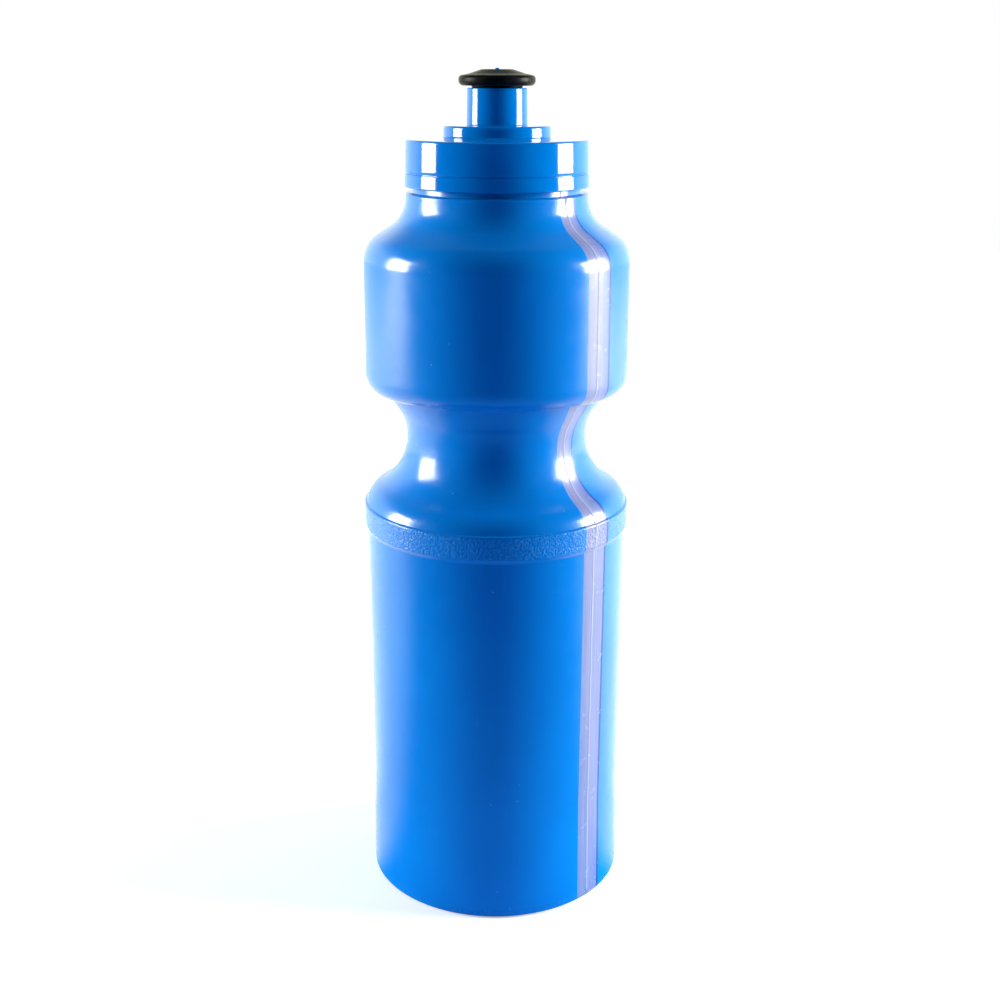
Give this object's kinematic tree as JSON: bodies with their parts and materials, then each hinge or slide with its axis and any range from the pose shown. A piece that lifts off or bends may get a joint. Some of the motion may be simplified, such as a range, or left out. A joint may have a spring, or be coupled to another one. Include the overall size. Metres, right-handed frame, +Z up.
{
  "type": "squeeze sports bottle",
  "caption": "Waisted squeeze drinking bottle with a milky level stripe down one side, a textured grip ring, a right-hand screw cap with a stepped top and spout tube, and a push-pull nozzle.",
  "frame": {"origin": "centre of the flat stand ring, on the surface the bottle stands on", "axes": "+Z up along the bottle's axis, -Y the front; all pieces are turned about Z"},
  "size_m": [0.074, 0.074, 0.2295],
  "materials": {
    "bottle_plastic": "satin-gloss blow-moulded soft polyethylene, fine scuffs, spark-eroded grip ring",
    "cap_plastic": "glossy injection-moulded polypropylene",
    "gasket_rubber": "smooth translucent-grey sealing rubber",
    "nozzle_rubber": "soft-touch black thermoplastic elastomer, satin"
  },
  "bodies": {
    "bottle": {"bottle_body": "bottle_plastic"},
    "gasket": {"cap_gasket": "gasket_rubber"},
    "cap": {"screw_cap": "cap_plastic"},
    "nozzle": {"push_pull_nozzle": "nozzle_rubber"}
  },
  "joints": [
    {"name": "cap_lift", "type": "slide", "parent": "bottle", "child": "gasket", "axis": [0, 0, 1], "range_m": [0, 0.005]},
    {"name": "cap_turn", "type": "hinge", "parent": "gasket", "child": "cap", "pos_m": [0, 0, 0.205], "axis": [0, 0, 1], "range_deg": [0, 450]},
    {"name": "nozzle_pull", "type": "slide", "parent": "cap", "child": "nozzle", "axis": [0, 0, 1], "range_m": [0, 0.007]}
  ],
  "couplings": [
    {"joint": "cap_lift", "follows": "cap_turn", "m_per_rad": 0.00063662}
  ]
}
